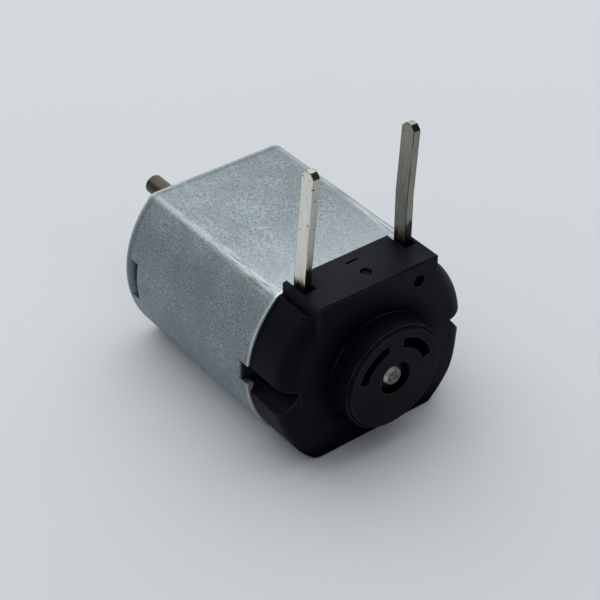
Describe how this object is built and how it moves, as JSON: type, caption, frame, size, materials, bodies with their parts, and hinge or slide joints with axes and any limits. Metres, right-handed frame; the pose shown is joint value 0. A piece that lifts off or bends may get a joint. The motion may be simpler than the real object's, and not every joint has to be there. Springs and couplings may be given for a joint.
{
  "type": "small dc motor",
  "caption": "Small flat-sided permanent-magnet DC motor: steel can, moulded black end cover, plain output shaft and long flat solder terminals.",
  "frame": {"origin": "on the shaft axis, in the front mounting face of the can", "axes": "+Y along the shaft, out of the front; +Z out of the upper flat, towards the terminal tips; +X to the right seen from the end cover"},
  "size_m": [0.021, 0.0385, 0.0284],
  "materials": {
    "zinc_plated_steel": "satin zinc plate",
    "black_nylon": "fine moulded satin",
    "tinned_brass": "tin plate",
    "shaft_steel": "ground",
    "spring_steel": "drawn wire",
    "core_steel": "punched sheet",
    "ferrite": "ground sintered ferrite",
    "sintered_bronze": "oiled sintered",
    "phosphor_bronze": "rolled strip",
    "commutator_copper": "turned",
    "enamelled_copper": "enamelled wire",
    "carbon": "pressed carbon",
    "fibre": "fibre board",
    "white_nylon": "moulded",
    "phenolic": "moulded"
  },
  "bodies": {
    "stator": {"housing_can": "zinc_plated_steel", "front_bearing": "sintered_bronze", "rear_bearing": "sintered_bronze", "magnet_left": "ferrite", "magnet_right": "ferrite", "magnet_clip": "spring_steel", "end_cover": "black_nylon", "terminal_left": "tinned_brass", "terminal_right": "tinned_brass", "brush_arm_left": "phosphor_bronze", "brush_arm_right": "phosphor_bronze", "carbon_brush_left": "carbon", "carbon_brush_right": "carbon"},
    "rotor": {"rotor_shaft": "shaft_steel", "rotor_laminations": "core_steel", "front_insulator": "fibre", "rear_insulator": "fibre", "coil_1": "enamelled_copper", "coil_2": "enamelled_copper", "coil_3": "enamelled_copper", "shaft_collar": "white_nylon", "front_thrust_washer": "white_nylon", "rear_thrust_washer": "white_nylon", "commutator_core": "phenolic", "commutator_segments": "commutator_copper", "commutator_ring": "phenolic"}
  },
  "joints": [
    {"name": "rotor_spin", "type": "hinge", "parent": "stator", "child": "rotor", "pos_m": [0, 0, 0], "axis": [0, 1, 0], "continuous": true}
  ]
}
